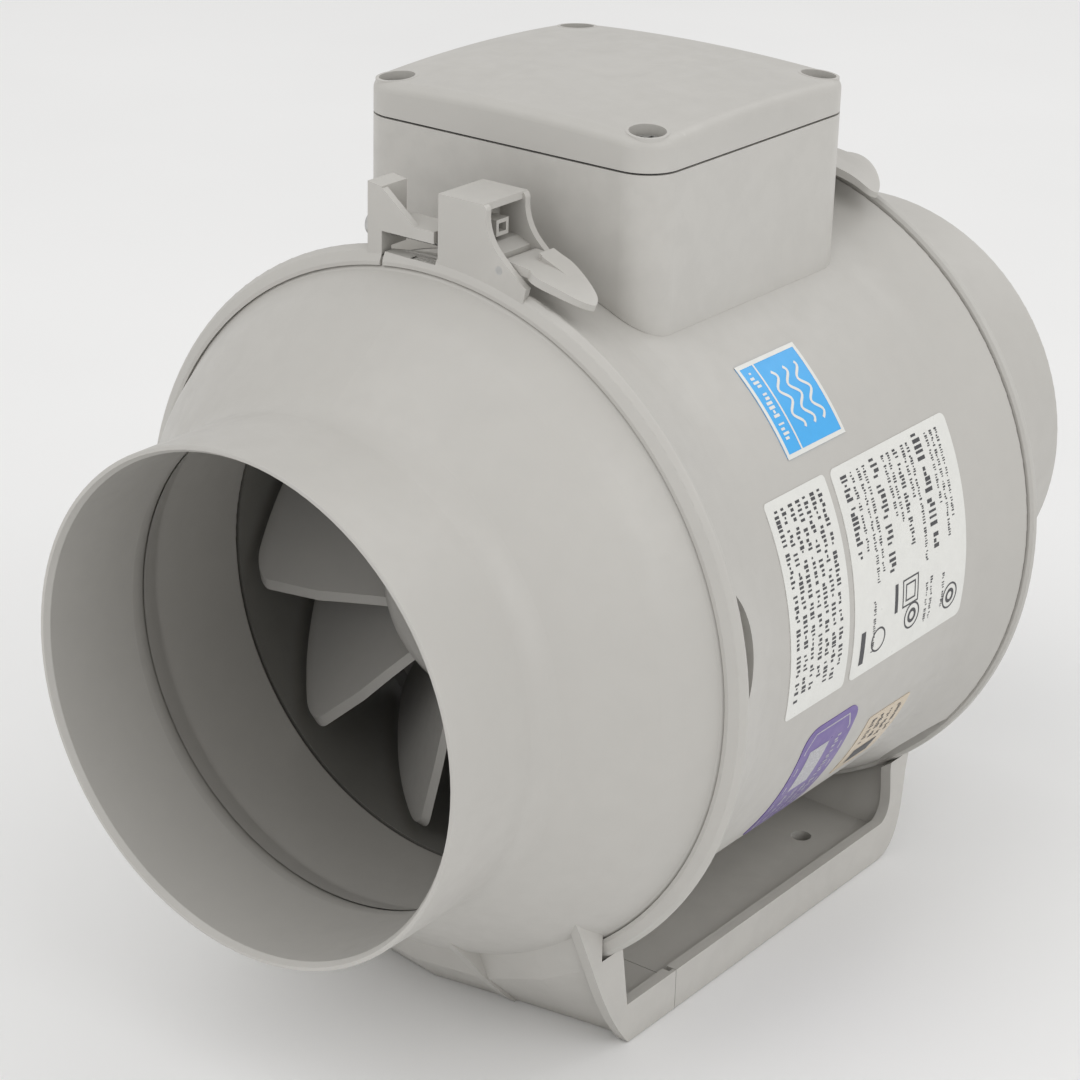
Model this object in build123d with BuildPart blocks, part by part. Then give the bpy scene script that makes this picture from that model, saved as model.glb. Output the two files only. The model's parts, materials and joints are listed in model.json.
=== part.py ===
from build123d import *
import os
from math import cos, degrees, radians, sin

os.makedirs("parts", exist_ok=True)

# Driving dimensions, in millimetres and degrees. The fan axis lies along Y with the inlet at -Y.
# The base rests on z = 0. Names ending in _y are distances from the middle of the fan, names
# ending in _r are radii about the fan axis, and heights are measured from the fan axis.
axis_height = 100.0
rim_y = 133.0
spigot_r = 61.5
spigot_bore_r = 59.6
spigot_end_y = 102.5
knee_y, knee_r = 79.5, 80.2
cone_end_y, cone_end_r = 69.2, 85.3
flange_y, flange_r = 68.0, 88.3
joint_y = 66.9
joint_gap = 0.2
nozzle_end_y = 61.6
body_r = 84.0
body_bore_r = 81.5
groove_y, groove_r = 65.8, 85.6
flare_y, flare_r = 64.6, 89.2
flare_start_y = 46.0
band_r = 90.8
wall = 2.5
running_gap = 0.05

box_x, box_y, box_corner_r = 86.0, 84.0, 9.0
seam_height = 110.4
lid_top_height = 121.8
lid_dome_r = 500.0
screw_x, screw_y = 36.3, 35.6

foot_x = 56.0
rail_height = 11.0
plate_top = 8.0
plate_bottom = 5.0
foot_joint_y = -37.2
hole_x, hole_y = 40.0, 45.0
mount_hole_r = 2.75

shaft_r = 4.0
blade_count = 10
blade_start_angle = -103.5
vane_count = 11
vane_start_angle = 180 / vane_count

side_plane = Plane(origin=(0, 0, axis_height), x_dir=(0, 1, 0), z_dir=(1, 0, 0))
fan_axis = Axis((0, 0, axis_height), (0, 1, 0))


def along(x):
    """Upright plane at x; its local axes are y and the height above the fan axis."""
    return Plane(origin=(x, 0, axis_height), x_dir=(0, 1, 0), z_dir=(1, 0, 0))


def across(y):
    """Upright plane at y, facing the inlet; its local axes are x and the height above the axis."""
    return Plane(origin=(0, y, axis_height), x_dir=(1, 0, 0), z_dir=(0, -1, 0))


def level(height):
    """Flat plane at a height above the fan axis."""
    return Plane.XY.offset(axis_height + height)


def tangent(angle, radius):
    """Plane touching a cylinder about the fan axis; its local axes are round and along it."""
    turn = radians(angle)
    outward = (sin(turn), 0, cos(turn))
    origin = (radius * outward[0], 0, axis_height + radius * outward[2])
    return Plane(origin=origin, x_dir=(outward[2], 0, -outward[0]), z_dir=outward)


def turned(points):
    """A solid turned about the fan axis from a closed outline of (y, radius) points."""
    with BuildPart() as body:
        with BuildSketch(side_plane):
            Polygon(*points)
        revolve(axis=fan_axis)
    return body.part


def write_both_ends(piece, name):
    """Write an inlet piece, and its mirror image as the outlet piece."""
    piece.part.label = f"inlet_{name}"
    export_step(piece.part, f"parts/inlet_{name}.step")
    with BuildPart() as twin:
        mirror(piece.part, about=Plane.XZ)
    twin.part.label = f"outlet_{name}"
    export_step(twin.part, f"parts/outlet_{name}.step")


# ------------------------------------------------------------------ end housings
outer_profile = [
    (-rim_y, spigot_bore_r + 0.9),
    (-rim_y, spigot_r),
    (-spigot_end_y, spigot_r),
    (-knee_y, knee_r),
    (-cone_end_y, cone_end_r),
    (-flange_y - 0.2, cone_end_r + 0.9),
    (-flange_y, cone_end_r + 0.9),
    (-flange_y, flange_r),
    (-joint_y - joint_gap, flange_r),
    (-joint_y - joint_gap, cone_end_r - 2.7),
    (-cone_end_y + 0.2, cone_end_r - 2.7),
    (-knee_y + 0.9, knee_r - 2.2),
]
outer_corner_radii = [0, 0.4, 12, 26, 1, 0, 0, 0.5, 0, 0, 0, 0]
bore_profile = [(-spigot_end_y + 1.2, spigot_bore_r), (-rim_y + 1.4, spigot_bore_r)]

with BuildPart() as housing_shell:
    # Spigot, cone and flange of an end housing, turned about the fan axis at the inlet side.
    with BuildSketch(side_plane):
        with BuildLine():
            FilletPolyline(
                *outer_profile, *bore_profile, radius=outer_corner_radii + [10, 0.6], close=True
            )
        make_face()
    revolve(axis=fan_axis)

# What the legs leave free: the duct inside the cone, and the clamp ring that turns round the joint.
keep_out_profile = [
    (-rim_y, 0),
    (-rim_y, spigot_r - 1),
    (-spigot_end_y, spigot_r - 1),
    (-knee_y + 0.4, knee_r - 1),
    (-cone_end_y - 0.1, cone_end_r - 1),
    (-cone_end_y - 0.1, band_r + 0.2),
    (-40, band_r + 0.2),
    (-40, 0),
]

# Front face of the leg at several stations across the fan: (x, height of its crease, bottom y).
leg_stations = [
    (-53.0, -74.3, -55.0),
    (-40.0, -82.0, -56.6),
    (-22.0, -88.6, -59.2),
    (0.0, -91.3, -62.8),
    (22.0, -88.6, -59.2),
    (40.0, -82.0, -56.6),
    (53.0, -74.3, -55.0),
]
crease_y = -71.0
web_top_y = -76.0
web_rise = 12.0
web_thickness = 2.6
gusset_thickness = 3.0
inner_gusset_x = 22.0

with BuildPart() as inlet_leg:
    for station_x, crease_height, bottom_y in leg_stations:
        with BuildSketch(along(station_x)):
            Polygon(
                (web_top_y, crease_height + web_rise),
                (crease_y, crease_height),
                (bottom_y, -axis_height),
                (bottom_y + web_thickness, -axis_height),
                (crease_y + web_thickness, crease_height),
                (web_top_y + web_thickness, crease_height + web_rise),
            )
    loft(ruled=True)
    # Outer gussets, whose inner edges are the upright edges of the opening under the fan.
    for start_x in (-foot_x, foot_x - gusset_thickness):
        with BuildSketch(along(start_x)):
            with BuildLine():
                Spline((-86.7, -46.0), (-74.2, -69.7), (-64.9, -88.9), (-57.0, -axis_height))
                Polyline(
                    (-57.0, -axis_height),
                    (-50.0, -axis_height),
                    (-50.0, rail_height - axis_height),
                    (-58.0, rail_height - axis_height),
                    (-61.0, -71.0),
                    (-66.0, -40.0),
                    (-86.7, -46.0),
                )
            make_face()
        extrude(amount=gusset_thickness)
    for middle_x in (-inner_gusset_x, inner_gusset_x):
        with BuildSketch(along(middle_x - gusset_thickness / 2)):
            with BuildLine():
                Spline((-88.5, -68.5), (-83.7, -73.7), (-73.5, -85.8), (-60.0, -axis_height))
                Polyline(
                    (-60.0, -axis_height), (-55.0, -axis_height), (-80.0, -60.0), (-88.5, -68.5)
                )
            make_face()
        extrude(amount=gusset_thickness)
    with BuildSketch(side_plane):
        Polygon(*keep_out_profile)
    revolve(axis=fan_axis, mode=Mode.SUBTRACT)

with BuildPart() as inlet_housing:
    add(housing_shell.part)
    add(inlet_leg.part)
    # Floor of the foot, its two rails and the bosses of the front mounting holes.
    with BuildSketch(Plane.XY.offset(plate_bottom)):
        Polygon(
            (-foot_x + 1, -57.6),
            (0, -67.4),
            (foot_x - 1, -57.6),
            (foot_x - 1, foot_joint_y - joint_gap),
            (-foot_x + 1, foot_joint_y - joint_gap),
        )
    extrude(amount=plate_top - plate_bottom)
    with BuildSketch(Plane.XY):
        for rail_x in (-foot_x, foot_x - gusset_thickness):
            with Locations((rail_x, -56.0)):
                Rectangle(gusset_thickness, 56.0 + foot_joint_y - joint_gap, align=Align.MIN)
    extrude(amount=rail_height)
    with BuildSketch(Plane.XY):
        with Locations((-hole_x, -hole_y), (hole_x, -hole_y)):
            Circle(6.5)
    extrude(amount=plate_top)
    with Locations((-hole_x, -hole_y, plate_top), (hole_x, -hole_y, plate_top)):
        Hole(mount_hole_r)
    # Small corner notch where the rail meets the long base.
    for notch_x in (4.0 - foot_x, foot_x - 4.0):
        with Locations((notch_x, foot_joint_y - 0.8, rail_height)):
            Box(6.0, 1.8, 2.4, mode=Mode.SUBTRACT)
inlet_housing.part.label = "inlet_housing"
export_step(inlet_housing.part, "parts/inlet_housing.step")

# Plain bell-mouth that leads the air from the inlet cone into the impeller.
with BuildPart() as inlet_nozzle:
    with BuildSketch(side_plane):
        with BuildLine():
            FilletPolyline(
                (-100.4, 60.3),
                (-94.9, 64.4),
                (-93.5, 64.9),
                (-nozzle_end_y, 67.9),
                (-nozzle_end_y, 66.0),
                (-93.7, 62.8),
                radius=[0, 0.4, 0, 0.6, 0.6, 6],
                close=True,
            )
        make_face()
    revolve(axis=fan_axis)
inlet_nozzle.part.label = "inlet_nozzle"
export_step(inlet_nozzle.part, "parts/inlet_nozzle.step")

outlet_bottom_y = 63.4
rail_top = rail_height - axis_height

with BuildPart() as outlet_leg:
    for station_x, crease_height, _ in leg_stations:
        with BuildSketch(along(station_x)):
            Polygon(
                (-web_top_y, crease_height + web_rise),
                (-crease_y, crease_height),
                (outlet_bottom_y, 2.0 - axis_height),
                (outlet_bottom_y - web_thickness, 2.0 - axis_height),
                (-crease_y - web_thickness, crease_height),
                (-web_top_y - web_thickness, crease_height + web_rise),
            )
    loft(ruled=True)
    for start_x in (-foot_x, foot_x - gusset_thickness):
        with BuildSketch(along(start_x)):
            with BuildLine():
                Polyline((44.0, -axis_height), (44.0, rail_top), (60.0, rail_top))
                Spline((60.0, rail_top), (62.6, -87.0), (63.6, -80.0), (63.0, -72.0))
                Polyline((63.0, -72.0), (66.0, -40.0), (83.0, -48.0), (74.5, -67.0))
                Spline((74.5, -67.0), (71.3, -76.0), (69.5, -90.0), (66.5, -96.5), (60.0, -axis_height))
                Line((60.0, -axis_height), (44.0, -axis_height))
            make_face()
        extrude(amount=gusset_thickness)
    for middle_x in (-inner_gusset_x, inner_gusset_x):
        with BuildSketch(along(middle_x - gusset_thickness / 2)):
            Polygon((62.0, -axis_height), (70.0, -95.0), (87.0, -70.0), (80.0, -60.0), (64.5, -96.0))
        extrude(amount=gusset_thickness)
    with BuildSketch(side_plane):
        Polygon(*[(-y, radius) for y, radius in keep_out_profile])
    revolve(axis=fan_axis, mode=Mode.SUBTRACT)

with BuildPart() as outlet_housing:
    mirror(housing_shell.part, about=Plane.XZ)
    add(outlet_leg.part)
    # Long base plate with its rails, cross ribs, hole bosses and the tongue under the front foot.
    with BuildSketch(Plane.XY.offset(plate_bottom)):
        with Locations((-foot_x + 1, foot_joint_y)):
            Rectangle(2 * foot_x - 2, 65.0 - foot_joint_y, align=Align.MIN)
    extrude(amount=plate_top - plate_bottom)
    with BuildSketch(Plane.XY):
        for rail_x in (-foot_x, foot_x - gusset_thickness):
            with Locations((rail_x, foot_joint_y)):
                Rectangle(gusset_thickness, 46.0 - foot_joint_y, align=Align.MIN)
    extrude(amount=rail_height)
    with BuildSketch(Plane.XY.offset(1.0)):
        for rib_y in (-20.0, 2.0, 24.0):
            with Locations((0, rib_y)):
                Rectangle(2 * foot_x - 4, 2.0)
    extrude(amount=plate_bottom - 1.0)
    with BuildSketch(Plane.XY):
        with Locations((-hole_x, hole_y), (hole_x, hole_y)):
            Circle(6.5)
    extrude(amount=plate_top)
    with Locations((-hole_x, hole_y, plate_top), (hole_x, hole_y, plate_top)):
        Hole(mount_hole_r)
    with BuildSketch(Plane.XY.offset(1.6)):
        with Locations((0, foot_joint_y - 9.0)):
            Rectangle(24.0, 18.0, align=(Align.CENTER, Align.MIN))
    extrude(amount=plate_bottom - joint_gap - 1.6)
    with BuildSketch(Plane.XY.offset(1.6)):
        with Locations((0, foot_joint_y)):
            Rectangle(24.0, 9.0, align=(Align.CENTER, Align.MIN))
    extrude(amount=plate_bottom - 1.6)
outlet_housing.part.label = "outlet_housing"
export_step(outlet_housing.part, "parts/outlet_housing.step")

# ------------------------------------------------------------------ flange seals
with BuildPart() as seal:
    add(turned([(-joint_y - 0.1, 84.0), (-joint_y - 0.1, 87.6), (-joint_y + 0.1, 87.6), (-joint_y + 0.1, 84.0)]))
write_both_ends(seal, "seal")

# ------------------------------------------------------------------ casing and junction box
casing_half = [
    (-joint_y + joint_gap, body_bore_r),
    (-joint_y + joint_gap, flange_r),
    (-groove_y, flange_r),
    (-groove_y, groove_r),
    (-flare_y, groove_r),
    (-flare_y, flare_r),
    (-flare_start_y, body_r),
]
casing_radii = [0, 0, 0, 0, 0, 0.4, 27]
# Finger slits in the edge of the casing: (end, angle either side of the top).
slits = [(-1, 79.0), (1, 136.0)]
slit_half_length, slit_depth, slit_floor_r = 14.0, 6.3, 83.0
boss_r = 4.4
gland_y, gland_height = 20.0, 96.6
gland_r = 8.0
lead_y = 31.0
lead_exit_y = 39.5
grommet_r = 5.0
pad_height = 86.0

with BuildPart() as fan_casing:
    with BuildSketch(side_plane):
        with BuildLine():
            FilletPolyline(
                *casing_half,
                *[(-y, radius) for y, radius in reversed(casing_half)],
                radius=casing_radii + casing_radii[::-1],
                close=True,
            )
        make_face()
    revolve(axis=fan_axis)
    # Pad for the terminal block.
    with BuildSketch(level(70.0)):
        with Locations((18.0, -6.0)):
            Rectangle(14.0, 30.0)
    extrude(amount=pad_height - 70.0)
    with BuildSketch(across(joint_y)):
        Circle(body_bore_r)
    extrude(amount=2 * joint_y, mode=Mode.SUBTRACT)
    with BuildSketch(level(70.0)):
        with Locations((0, lead_y)):
            Circle(grommet_r)
    extrude(amount=20.0, mode=Mode.SUBTRACT)
    # Slits at both sides, where a tool lifts the clamp ring off its seat.
    for end, slit_angle in slits:
        for side in (-1, 1):
            with BuildSketch(tangent(side * slit_angle, slit_floor_r)):
                with BuildLine():
                    ThreePointArc(
                        (-slit_half_length, end * (flare_y + 0.3)),
                        (0, end * (flare_y - slit_depth)),
                        (slit_half_length, end * (flare_y + 0.3)),
                    )
                    Line(
                        (slit_half_length, end * (flare_y + 0.3)),
                        (-slit_half_length, end * (flare_y + 0.3)),
                    )
                make_face()
            extrude(amount=8.0, mode=Mode.SUBTRACT)
fan_casing.part.label = "fan_casing"
export_step(fan_casing.part, "parts/fan_casing.step")

with BuildPart() as junction_box:
    # Walls, open at the seam, and the screw bosses in the corners.
    with BuildSketch(level(40.0)):
        RectangleRounded(box_x, box_y, box_corner_r)
        RectangleRounded(box_x - 2 * wall, box_y - 2 * wall, box_corner_r - wall, mode=Mode.SUBTRACT)
    extrude(amount=seam_height - 40.0)
    with BuildSketch(level(60.0)):
        with GridLocations(2 * screw_x, 2 * screw_y, 2, 2):
            Circle(boss_r)
    extrude(amount=seam_height - 60.0)
    # The box stands on the skin of the casing, and clears the start of its flares.
    with BuildSketch(side_plane):
        Polygon(
            (-joint_y, 0),
            (-joint_y, body_r + 1.1),
            (-box_y / 2 + 3.0, body_r),
            (box_y / 2 - 3.0, body_r),
            (joint_y, body_r + 1.1),
            (joint_y, 0),
        )
    revolve(axis=fan_axis, mode=Mode.SUBTRACT)
    with BuildSketch(level(seam_height - 14.0)):
        with GridLocations(2 * screw_x, 2 * screw_y, 2, 2):
            Circle(1.6)
    extrude(amount=14.0, mode=Mode.SUBTRACT)
    with BuildSketch(Plane.YZ.offset(-box_x / 2 - 1)):
        with Locations((gland_y, axis_height + gland_height)):
            Circle(gland_r + 0.1)
    extrude(amount=wall + 2, mode=Mode.SUBTRACT)
junction_box.part.label = "junction_box"
export_step(junction_box.part, "parts/junction_box.step")

# ------------------------------------------------------------------ box lid, gasket and screws
lid_gap = 0.5
lid_inner_top = 117.6
screw_seat = 115.2
collar_r, pocket_r = 5.1, 4.3

with BuildPart() as collars:
    # The corners stay full round the screw pockets, up to the dome of the lid.
    with BuildSketch(level(seam_height + lid_gap)):
        with GridLocations(2 * screw_x, 2 * screw_y, 2, 2):
            Circle(collar_r)
    extrude(amount=lid_top_height - seam_height)
    with Locations((0, 0, axis_height + lid_top_height - lid_dome_r + 0.05)):
        Sphere(lid_dome_r, mode=Mode.INTERSECT)

with BuildPart() as box_lid:
    with BuildSketch(level(seam_height + lid_gap)):
        RectangleRounded(box_x, box_y, box_corner_r)
    extrude(amount=lid_top_height - seam_height)
    with Locations((0, 0, axis_height + lid_top_height - lid_dome_r)):
        Sphere(lid_dome_r, mode=Mode.INTERSECT)
    fillet(box_lid.faces().sort_by(Axis.Z)[-1].edges(), radius=2.6)
    with BuildSketch(level(seam_height + lid_gap)):
        RectangleRounded(box_x - 2 * wall, box_y - 2 * wall, box_corner_r - wall)
    extrude(amount=lid_inner_top - seam_height - lid_gap, mode=Mode.SUBTRACT)
    add(collars.part)
    with BuildSketch(level(screw_seat)):
        with GridLocations(2 * screw_x, 2 * screw_y, 2, 2):
            Circle(pocket_r)
    extrude(amount=10.0, mode=Mode.SUBTRACT)
    with BuildSketch(level(seam_height)):
        with GridLocations(2 * screw_x, 2 * screw_y, 2, 2):
            Circle(1.9)
    extrude(amount=10.0, mode=Mode.SUBTRACT)
box_lid.part.label = "box_lid"
export_step(box_lid.part, "parts/box_lid.step")

with BuildPart() as lid_gasket:
    with BuildSketch(level(seam_height)):
        RectangleRounded(box_x - 1.6, box_y - 1.6, box_corner_r - 0.8)
        RectangleRounded(box_x - 4.4, box_y - 4.4, box_corner_r - 2.2, mode=Mode.SUBTRACT)
    extrude(amount=lid_gap)
lid_gasket.part.label = "lid_gasket"
export_step(lid_gasket.part, "parts/lid_gasket.step")

with BuildPart() as lid_screws:
    with BuildSketch(level(screw_seat)):
        with GridLocations(2 * screw_x, 2 * screw_y, 2, 2):
            Circle(3.8)
    extrude(amount=2.3)
    fillet(lid_screws.faces().group_by(Axis.Z)[-1].edges(), radius=0.9)
    with BuildSketch(level(screw_seat - 18.0)):
        with GridLocations(2 * screw_x, 2 * screw_y, 2, 2):
            Circle(1.5)
    extrude(amount=18.0)
    with BuildSketch(level(screw_seat + 1.1)):
        with GridLocations(2 * screw_x, 2 * screw_y, 2, 2):
            Rectangle(4.4, 0.9)
            Rectangle(0.9, 4.4)
    extrude(amount=3.0, mode=Mode.SUBTRACT)
lid_screws.part.label = "lid_screws"
export_step(lid_screws.part, "parts/lid_screws.step")

# ------------------------------------------------------------------ clamp rings
seat_r = 88.6
lip_front_y, lip_back_y = -68.9, -64.8
channel_front_y, channel_back_y = -68.1, -65.7
front_lip_r, back_lip_r = 86.3, 86.2
band_profile = [
    (lip_front_y, front_lip_r),
    (lip_front_y, 87.2),
    (-67.9, 89.6),
    (-66.4, band_r),
    (-65.3, 90.4),
    (lip_back_y, 89.6),
    (lip_back_y, back_lip_r),
    (channel_back_y, back_lip_r),
    (channel_back_y, seat_r),
    (channel_front_y, seat_r),
    (channel_front_y, front_lip_r),
]
band_radii = [0, 0.3, 0.9, 0.8, 0.3, 0.2, 0, 0, 0, 0, 0]
latch_front_y, latch_back_y = -68.2, -52.2
latch_width = latch_back_y - latch_front_y
post_back_y = -59.4
post_width = post_back_y - latch_front_y
cheek = 1.8
post_x = -13.4
split_end_x = 2.4
split_width = 0.8
lug_x = 3.0
lug_top = 105.2
roof_height = 94.6
clamp_screw_y, screw_height = -63.8, 92.9
clamp_screw_r = 1.5
nut_side = 5.2
pin_x, pin_height = 20.4, 91.0
pin_r = 1.0
catch_y, catch_height = -60.2, 98.2
underside_r = 90.1

with BuildPart() as clamp_ring:
    with BuildSketch(side_plane):
        with BuildLine():
            FilletPolyline(*band_profile, radius=band_radii, close=True)
        make_face()
    revolve(axis=fan_axis)
    # The crown of the ring is open under the roof, and the ring is split at the post.
    with BuildSketch(along(post_x)):
        with Locations((lip_front_y - 1.0, seat_r - 0.15)):
            Rectangle(lip_back_y - lip_front_y + 2.0, 6.0, align=Align.MIN)
    extrude(amount=split_end_x - post_x, mode=Mode.SUBTRACT)
    with BuildSketch(along(post_x)):
        with Locations((lip_front_y - 1.0, 80.0)):
            Rectangle(lip_back_y - lip_front_y + 2.0, 14.0, align=Align.MIN)
    extrude(amount=split_width, mode=Mode.SUBTRACT)
    # End post with its corner gusset, and the roof over the screw.
    with BuildSketch(across(post_back_y)):
        Polygon((-17.6, 86.5), (-17.6, 104.2), (post_x, 103.6), (post_x, 87.2))
    extrude(amount=post_width)
    with BuildSketch(across(latch_front_y + 1.8)):
        Polygon(
            (-14.0, roof_height),
            (-14.0, 103.4),
            (post_x + 0.3, 103.2),
            (-3.4, roof_height + 1.0),
            (-3.4, roof_height),
        )
    extrude(amount=1.8)
    with BuildSketch(across(post_back_y)):
        with Locations((post_x - 0.6, roof_height)):
            Rectangle(split_end_x - post_x, 1.4, align=Align.MIN)
    extrude(amount=post_width)
    with BuildSketch(across(latch_front_y + 2.2)):
        with Locations((post_x - 0.6, roof_height - 1.4)):
            Rectangle(split_end_x - post_x, 2.8, align=Align.MIN)
    extrude(amount=2.2)
    # Lug: two cheeks with a hollow flank, a top, and a wall that takes the screw's pull.
    for cheek_y in (latch_front_y + cheek, latch_back_y):
        with BuildSketch(across(cheek_y)):
            with BuildLine():
                Polyline((28.0, 88.3), (27.0, 83.5), (lug_x, 87.6), (lug_x, lug_top), (15.1, lug_top))
                RadiusArc((15.1, lug_top), (16.6, 103.7), 1.5)
                Spline((16.6, 103.7), (17.2, 99.0), (19.0, 95.8), (22.6, 92.4), (25.8, 89.8), (28.0, 88.3))
            make_face()
        extrude(amount=cheek)
    with BuildSketch(across(latch_back_y)):
        with Locations((lug_x, lug_top - 1.7)):
            Rectangle(12.8, 1.7, align=Align.MIN)
        with Locations((lug_x, 87.6)):
            Rectangle(1.8, lug_top - 87.6, align=Align.MIN)
        with Locations((lug_x + 5.0, 96.0)):
            Rectangle(1.4, lug_top - 96.0, align=Align.MIN)
        # Ramp between the cheeks, down to the lever.
        Polygon((10.0, 88.0), (10.0, 95.2), (14.5, 94.9), (18.2, 93.4), (18.2, 88.0), align=None)
    extrude(amount=latch_width)
    # Square catch block seen in the mouth of the lug.
    with BuildSketch(Plane.YZ.offset(lug_x + 5.0)):
        with Locations((catch_y, axis_height + catch_height)):
            Rectangle(4.4, 3.8)
    extrude(amount=7.0)
    with BuildSketch(Plane.YZ.offset(lug_x + 8.0)):
        with Locations((catch_y, axis_height + catch_height)):
            Rectangle(2.6, 2.0)
    extrude(amount=6.0, mode=Mode.SUBTRACT)
    # The seat is cleared of everything that the latch pushed into it, in the ring and behind it.
    with BuildSketch(side_plane):
        Polygon(
            (lip_front_y, 60.0),
            (lip_front_y, front_lip_r),
            (channel_front_y, front_lip_r),
            (channel_front_y, seat_r),
            (channel_back_y, seat_r),
            (channel_back_y, back_lip_r),
            (lip_back_y, back_lip_r),
            (lip_back_y, underside_r),
            (-50.0, underside_r),
            (-50.0, 60.0),
        )
    revolve(axis=fan_axis, mode=Mode.SUBTRACT)
    # Pocket for the square nut, then the holes for the clamp screw and for the lever pin.
    with BuildSketch(Plane.YZ.offset(lug_x + 1.8)):
        with Locations((clamp_screw_y, axis_height + screw_height)):
            Rectangle(nut_side + 0.2, nut_side + 0.2)
    extrude(amount=2.4, mode=Mode.SUBTRACT)
    with BuildSketch(Plane.YZ.offset(-19.0)):
        with Locations((clamp_screw_y, axis_height + screw_height)):
            Circle(clamp_screw_r + 0.1)
    extrude(amount=26.0, mode=Mode.SUBTRACT)
    with BuildSketch(across(-40.0)):
        with Locations((pin_x, pin_height)):
            Circle(pin_r)
    extrude(amount=40.0, mode=Mode.SUBTRACT)
write_both_ends(clamp_ring, "clamp_ring")

with BuildPart() as clamp_screw:
    with BuildSketch(Plane.YZ.offset(-17.6)):
        with Locations((clamp_screw_y, axis_height + screw_height)):
            Circle(clamp_screw_r)
    extrude(amount=25.6)
    with BuildSketch(Plane.YZ.offset(-20.2)):
        with Locations((clamp_screw_y, axis_height + screw_height)):
            Circle(2.9)
    extrude(amount=2.6)
    fillet(clamp_screw.faces().sort_by(Axis.X)[0].edges(), radius=0.8)
    with BuildSketch(Plane.YZ.offset(-20.2)):
        with Locations((clamp_screw_y, axis_height + screw_height)):
            Rectangle(3.4, 0.8)
            Rectangle(0.8, 3.4)
    extrude(amount=1.2, mode=Mode.SUBTRACT)
    # Rolled thread, as shallow rings along the exposed shank.
    for ring in range(22):
        with BuildSketch(Plane.YZ.offset(-13.0 + 0.9 * ring)):
            with Locations((clamp_screw_y, axis_height + screw_height)):
                Circle(clamp_screw_r)
                Circle(clamp_screw_r - 0.25, mode=Mode.SUBTRACT)
        extrude(amount=0.4, mode=Mode.SUBTRACT)
write_both_ends(clamp_screw, "clamp_screw")

with BuildPart() as clamp_nut:
    with BuildSketch(Plane.YZ.offset(lug_x + 1.8)):
        with Locations((clamp_screw_y, axis_height + screw_height)):
            RectangleRounded(nut_side, nut_side, 0.5)
            Circle(clamp_screw_r, mode=Mode.SUBTRACT)
    extrude(amount=2.2)
write_both_ends(clamp_nut, "clamp_nut")

# ------------------------------------------------------------------ release levers
lever_angle = 20.0
lever_clear = 0.3
knuckle_r = 1.9

with BuildPart() as leaf_outline:
    with BuildSketch(tangent(lever_angle, 80.0)):
        with BuildLine():
            Polyline((-5.6, -54.3), (-14.0, -54.3), (-14.0, -66.1), (-5.6, -66.1))
            Spline((-5.6, -66.1), (-2.6, -67.8), (1.6, -67.0), (5.5, -64.8), (8.4, -61.8), (9.4, -59.8))
            Spline((9.4, -59.8), (8.2, -57.8), (4.6, -56.4), (0.6, -55.2), (-2.6, -54.3), (-5.6, -54.3))
        make_face()
    extrude(amount=30.0)

with BuildPart() as lever:
    # Side view of the leaf: it leaves the knuckle, crowns and drops to the ring at its tip.
    with BuildSketch(across(latch_back_y)):
        with BuildLine():
            Spline((20.4, 92.9), (28.1, 92.0), (34.2, 90.2), (38.5, 87.6), (41.6, 84.8), (43.6, 82.5))
            Line((43.6, 82.5), (42.8, 81.6))
            Spline((42.8, 81.6), (40.9, 83.6), (37.5, 86.3), (33.4, 88.4), (28.0, 90.0), (22.5, 90.3))
            Line((22.5, 90.3), (20.4, 92.9))
        make_face()
    extrude(amount=latch_width)
    # Thumb rest, a wedge that fades out along the leaf.
    with BuildSketch(across(latch_back_y)):
        Polygon((25.0, 91.4), (25.0, 94.0), (34.2, 90.2), (31.0, 90.0), align=None)
    extrude(amount=7.8)
    add(leaf_outline.part, mode=Mode.INTERSECT)
    # Notch that a screwdriver enters.
    with Locations((25.2, -60.3, axis_height + 93.7)):
        Box(1.6, 1.4, 2.0, mode=Mode.SUBTRACT)
    # Knuckle on the pin, between the cheeks of the lug.
    with BuildSketch(across(latch_back_y - cheek - lever_clear)):
        with Locations((pin_x, pin_height)):
            Circle(knuckle_r)
    extrude(amount=latch_width - 2 * cheek - 2 * lever_clear)
    with BuildSketch(across(-40.0)):
        with Locations((pin_x, pin_height)):
            Circle(pin_r + running_gap)
    extrude(amount=40.0, mode=Mode.SUBTRACT)
write_both_ends(lever, "lever")

with BuildPart() as lever_pin:
    with BuildSketch(across(latch_back_y)):
        with Locations((pin_x, pin_height)):
            Circle(pin_r)
    extrude(amount=latch_width)
write_both_ends(lever_pin, "lever_pin")

# ------------------------------------------------------------------ impeller
tip_front_y, tip_front_r = -57.6, 65.2
tip_back_y, tip_back_r = -10.0, 77.6
hub_front_r, hub_back_r = 24.5, 56.0
hub_front_y, hub_back_y = -57.0, -9.0
blade_thickness = 1.7

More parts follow.
